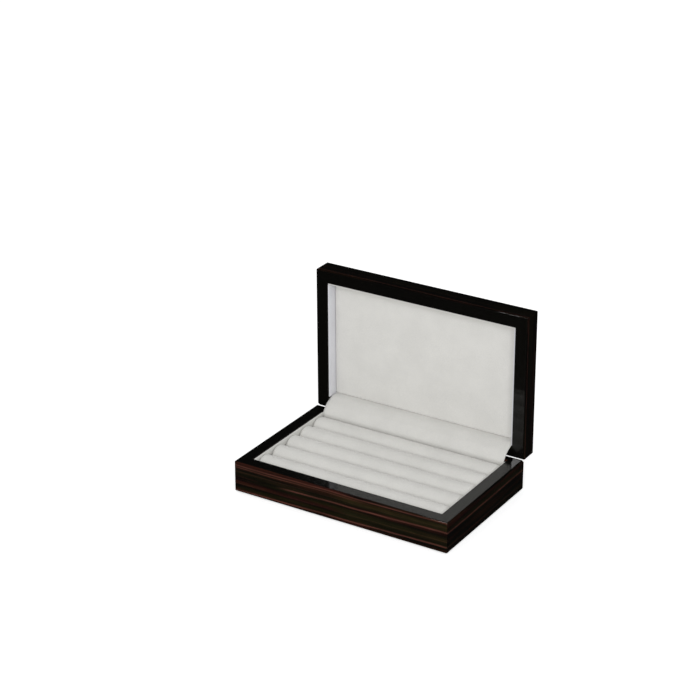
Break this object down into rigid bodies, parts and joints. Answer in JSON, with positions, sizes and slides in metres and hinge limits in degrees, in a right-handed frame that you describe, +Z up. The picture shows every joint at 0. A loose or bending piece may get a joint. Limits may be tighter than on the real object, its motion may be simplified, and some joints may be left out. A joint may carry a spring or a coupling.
{
  "type": "cufflink display box",
  "caption": "Shallow lacquered wooden box with a hinged lid, velvet lining and soft rolls that grip cufflinks in the grooves between them.",
  "frame": {"origin": "middle of the underside, on the felt that the box stands on", "axes": "+X along the box, +Y towards the hinged back, +Z up; the lid stands open"},
  "size_m": [0.2, 0.1441, 0.1547],
  "materials": {
    "lacquered_wood": "dark striped veneer under clear high-gloss lacquer",
    "bottom_board": "plain board",
    "felt": "pressed felt",
    "velvet": "short pale grey velvet",
    "foam": "soft open-cell foam",
    "card": "plain grey board",
    "hinge_metal": "satin nickel"
  },
  "bodies": {
    "base": {"base_front_wall": "lacquered_wood", "base_back_wall": "lacquered_wood", "base_left_wall": "lacquered_wood", "base_right_wall": "lacquered_wood", "base_bottom_panel": "bottom_board", "base_felt": "felt", "tray_floor_liner": "velvet", "base_front_liner": "velvet", "base_left_liner": "velvet", "base_right_liner": "velvet", "roll_cover_1": "velvet", "roll_cover_2": "velvet", "roll_cover_3": "velvet", "roll_cover_4": "velvet", "roll_cover_5": "velvet", "roll_core_1": "foam", "roll_core_2": "foam", "roll_core_3": "foam", "roll_core_4": "foam", "roll_core_5": "foam", "hinge_cover_flap": "velvet", "left_hinge_base_leaf": "hinge_metal", "right_hinge_base_leaf": "hinge_metal", "left_hinge_pin": "hinge_metal", "right_hinge_pin": "hinge_metal", "hinge_base_screws": "hinge_metal"},
    "lid": {"lid_top_panel": "lacquered_wood", "lid_front_wall": "lacquered_wood", "lid_back_wall": "lacquered_wood", "lid_left_wall": "lacquered_wood", "lid_right_wall": "lacquered_wood", "lid_pad_card": "card", "lid_pad_cover": "velvet", "lid_front_liner": "velvet", "lid_left_liner": "velvet", "lid_right_liner": "velvet", "left_hinge_lid_leaf": "hinge_metal", "right_hinge_lid_leaf": "hinge_metal", "hinge_lid_screws": "hinge_metal"}
  },
  "joints": [
    {"name": "lid_hinge", "type": "hinge", "parent": "base", "child": "lid", "pos_m": [0, 0.0624, 0.02815], "axis": [1, 0, 0], "range_deg": [0, 89.5], "deforming": ["hinge_cover_flap"]}
  ]
}
